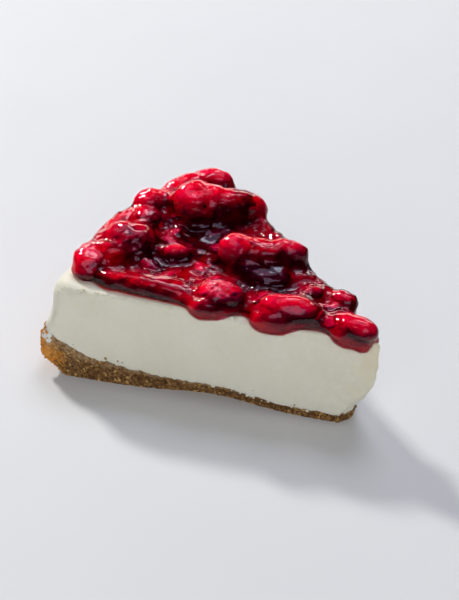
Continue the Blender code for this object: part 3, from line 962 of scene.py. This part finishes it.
# The layer of glaze: a flat foot, the rings of its round lip, then rings that close in on its middle
def glazeLayer(bm):
    count = sauce["steps"]
    edge = smoothLoop(glazeOutline(), count)
    middle = Vector(sauce["middle"])
    normals = []
    for i in range(count):
        run = (edge[(i + 1) % count] - edge[i - 1]).normalized()
        normals.append(Vector((-run.y, run.x)))
    verts = bmesh.ops.create_circle(bm, cap_ends=True, segments=count, radius=1.0)["verts"]
    ring = sorted(verts, key=lambda vert: math.atan2(vert.co.y, vert.co.x) % (2 * math.pi))
    cap = bm.faces[:]
    lipRings = sauce["lipRings"]
    levels = 1 + len(lipRings) + sauce["rings"]
    for level in range(levels):
        if level:
            old = cap
            grown = bmesh.ops.extrude_face_region(bm, geom=old)["geom"]
            cap = [f for f in grown if isinstance(f, bmesh.types.BMFace)]
            if level > 1:
                bmesh.ops.delete(bm, geom=old, context="FACES_ONLY")
            fresh = {v for v in grown if isinstance(v, bmesh.types.BMVert)}
            ring = [next(e.other_vert(v) for e in v.link_edges if e.other_vert(v) in fresh) for v in ring]
        for vert, place, normal in zip(ring, edge, normals):
            inner = sauce["under"] if level == 0 else lipRings[min(level - 1, len(lipRings) - 1)]
            flat = place + normal * inner
            share = max(level - len(lipRings), 0) / (sauce["rings"] + 1)
            u, v = flat.lerp(middle, share)
            point = spot(u, v, 0)
            if level == 0:
                rise = -sauce["sink"]
            else:
                near = min(inner / sauce["lip"], 1.0) if level <= len(lipRings) else 1.0
                rise = sauce["foot"] + (glazeThickness(u, v) - sauce["foot"]) * math.sqrt(1 - (1 - near) ** 2)
            rise -= sauce["sag"] * smooth((1.0 - min(insideCuts(point))) / sauce["sagReach"])
            point.z = cakeTop(point) + rise
            vert.co = point
    bmesh.ops.poke(bm, faces=cap)


# The lobes that hang over the near edge
def glazeDrips(bm):
    for drip in drips:
        centre = nearCut(drip["along"], 0.1, 0)
        centre.z = cakeTop(centre) - drip["drop"]
        size = Matrix.Diagonal((drip["half"][0], drip["bulge"], drip["half"][1], 1))
        shape = Matrix.Translation(centre) @ Matrix.Rotation(cutTilt, 4, "Z") @ size
        bmesh.ops.create_uvsphere(bm, u_segments=28, v_segments=20, radius=1.0, matrix=shape)


# The scraps lie along the slice from the first distance over the second,
# and across it at a share of the way to a cut
scraps = dict(
    count=46, along=(18, 84), across=(-0.60, 0.80), size=(1.6, 3.6), tilted=0.6, clear=0.9,
    sides=14, rings=10, voxel=0.4, easing=2, film=0.45, seed=5,
)


# Torn bits of fruit just under the surface of the glaze, where no cherry is
def scrapLumps():
    draw = random.Random(scraps["seed"])
    places = []
    for _ in range(scraps["count"]):
        u = scraps["along"][0] + scraps["along"][1] * draw.random() ** 0.8
        v = draw.uniform(*scraps["across"]) * u * math.tan(cutTilt)
        size = draw.uniform(*scraps["size"])
        lift = glazeThickness(u, v) - size * draw.uniform(0.2, 0.6)
        roll = draw.uniform(-scraps["tilted"], scraps["tilted"])
        pitch = draw.uniform(-scraps["tilted"], scraps["tilted"])
        scrap = dict(at=(u, v), lift=lift, half=(size * 1.4, size * 0.8, size * 0.5),
                     roll=roll, pitch=pitch, turn=draw.uniform(0, 180))
        if min(patchReach(spec, u, v) for spec in cherries.values()) > scraps["clear"]:
            places.append(scrap)
    return places


def makeScraps(look, shell):
    rough = bmesh.new()
    for lump in scrapLumps():
        addLump(rough, lump, 0.0, scraps["sides"], scraps["rings"])
    bm = joinedSkin(rough, scraps["voxel"], scraps["easing"])
    keepUnder(bm, shell, scraps["film"])
    raiseSkin(bm, lambda point: 0.35 * ripple(point, 1.7, 2.0) + 0.2 * ripple(point, 0.8, 5.0) - 0.15)
    # Painted light and painted shade, over a depth of red that differs at random
    bright = bm.verts.layers.float.new("bright")
    for vert in bm.verts:
        vert[bright] = fleshToneAndPaintedLight(vert, 0.45 + 0.9 * ripple(vert.co, 9.0, 1.0))
    finishPiece("fruitScraps", bm, look)


pulp = dict(lip=1.25, deep=1.3, uneven=0.8, lumps=3.8, deepFrom=5, film=0.6, voxel=0.6, easing=3, darkAndShade=0.90)


# The soft pulp that runs through the glaze, a little way under its skin
def makePulp(look, skin, shell):
    rough = skin.copy()
    lip = pulp["lip"]

    def depth(point):
        inside = smooth(min(insideCuts(point)) / pulp["deepFrom"])
        uneven = pulp["uneven"] * (0.4 + ripple(point, pulp["lumps"], 40.0))
        return -lip - inside * (pulp["deep"] - lip + uneven)

    raiseSkin(rough, depth)
    bm = joinedSkin(rough, pulp["voxel"], pulp["easing"])
    keepUnder(bm, shell, pulp["film"])
    # Painted light and painted shade; the pulp is painted deeper overall, partly as painted shade between the
    # fruit
    bright = bm.verts.layers.float.new("bright")
    for vert in bm.verts:
        vert[bright] = fleshToneAndPaintedLight(vert, pulp["darkAndShade"])
    finishPiece("fruitPulp", bm, look)


def glazeLook():
    look = Look("redGlaze", {"Transmission Weight": 1.0, "IOR": 1.45, "Roughness": 0.015,
                             "Base Color": (1.0, 0.72, 0.78, 1.0)})
    depth = look.tree.nodes.new("ShaderNodeVolumeAbsorption")
    depth.inputs["Color"].default_value = (0.945, 0.0, 0.55, 1.0)
    depth.inputs["Density"].default_value = 1700.0
    output = look.tree.nodes["Material Output"]
    look.tree.links.new(depth.outputs[0], output.inputs["Volume"])
    swirl = look.grain(3.0, 1.0, distortion=0.8)
    return look.feed(Normal=look.bump(swirl, 0.22, 0.5))


# The glaze's whole skin, over the fruit and between it, with folds that are calmer near the near cut
def glazeSkin():
    rough = bmesh.new()
    glazeLayer(rough)
    glazeDrips(rough)
    for lump in pools:
        addLump(rough, lump, 0.0)
    for lump in scrapLumps():
        addLump(rough, lump, scraps["film"], scraps["sides"], scraps["rings"])
    for name in cherries:
        addFruit(rough, name, sauce["grow"])
    bm = joinedSkin(rough, sauce["voxel"], sauce["easing"], sauce["fill"])
    keepWidest(bm)
    opened = spot(*cherries["cherry_open"]["at"], 0)

    def relief(point):
        fold = 0.25 - abs(ripple(point, 6.0, 21.0))
        crinkle = (0.3 - abs(ripple(point, 2.4, 33.0))) * smooth(0.5 + 2.2 * ripple(point, 11.0, 17.0))
        torn = 1 - smooth(((point - opened).xy.length - 3.0) / 3.0)
        waves = sauce["wave"] * ripple(point, 9.0, 3.0) + sauce["wrinkle"] * ripple(point, 2.2, 12.0)
        inner = sauce["calm"] + (1 - sauce["calm"]) * smooth((insideCuts(point)[0] - 5.0) / 5.0)
        folds = inner * (sauce["fold"] * fold + sauce["crinkle"] * crinkle)
        return waves + folds + sauce["torn"] * torn * ripple(point, 1.5, 50.0)

    raiseSkin(bm, relief)
    return bm


skin = glazeSkin()
shell = BVHTree.FromBMesh(skin)
fruitSkin = fruitLook()
makeCherries(fruitSkin, shell)
makeScraps(fruitSkin, shell)
makePulp(fruitSkin, skin, shell)
finishPiece("cherryGlaze", skin, glazeLook(), ["glaze"])
